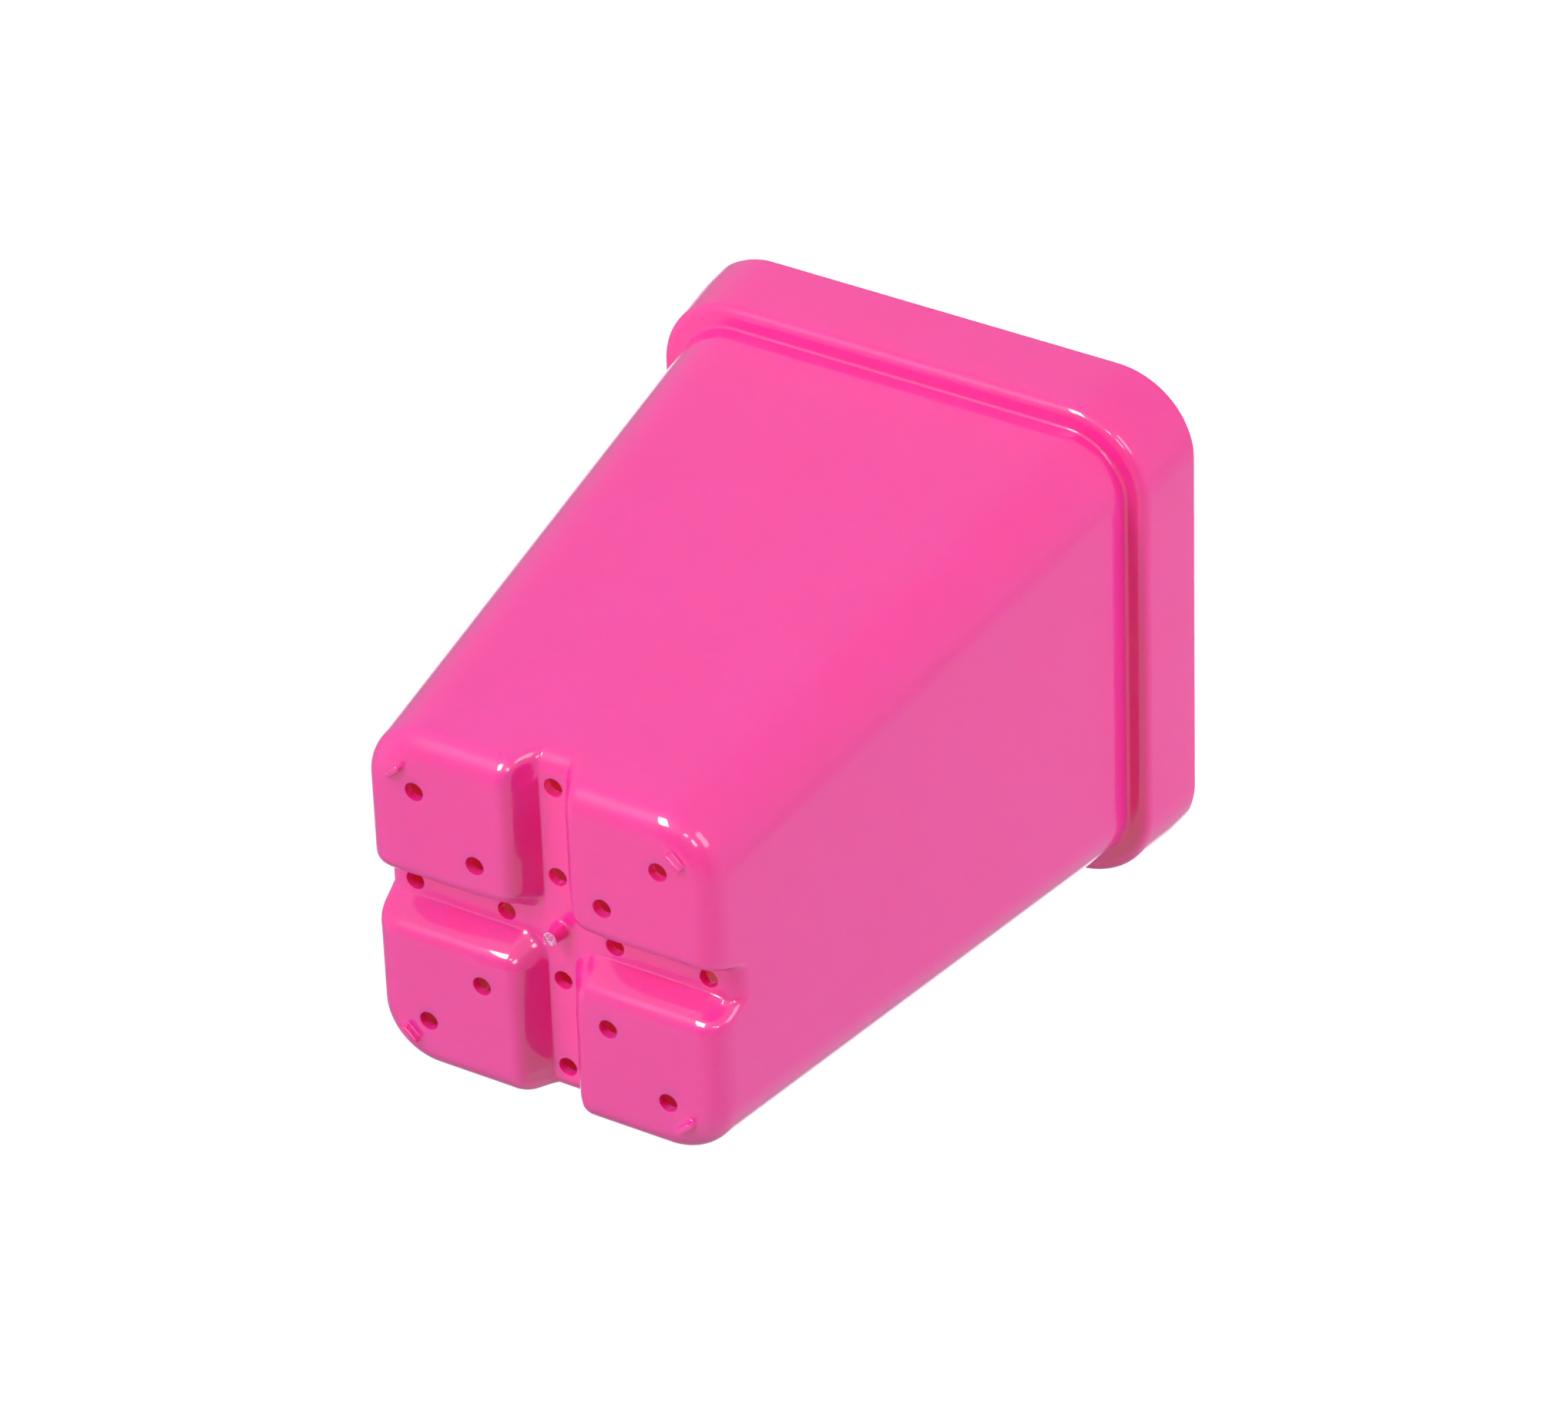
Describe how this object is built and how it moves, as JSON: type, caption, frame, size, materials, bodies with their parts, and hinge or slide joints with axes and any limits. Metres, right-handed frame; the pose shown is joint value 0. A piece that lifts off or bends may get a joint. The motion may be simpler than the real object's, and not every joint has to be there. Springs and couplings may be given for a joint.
{
  "type": "square seed starting pot",
  "caption": "Tapered square plastic pot for starting seeds, with a stepped-out collar round its mouth and drain holes in a footed base parted by a cross of channels.",
  "frame": {"origin": "centre of the pot on the ground plane that its corner ribs stand on", "axes": "+Z from the base up to the mouth, X and Y square to the side walls"},
  "size_m": [0.0636, 0.0636, 0.0882],
  "materials": {
    "pink_plastic": "smooth, satin gloss, opaque"
  },
  "bodies": {
    "root": {"pot": "pink_plastic"}
  },
  "joints": []
}
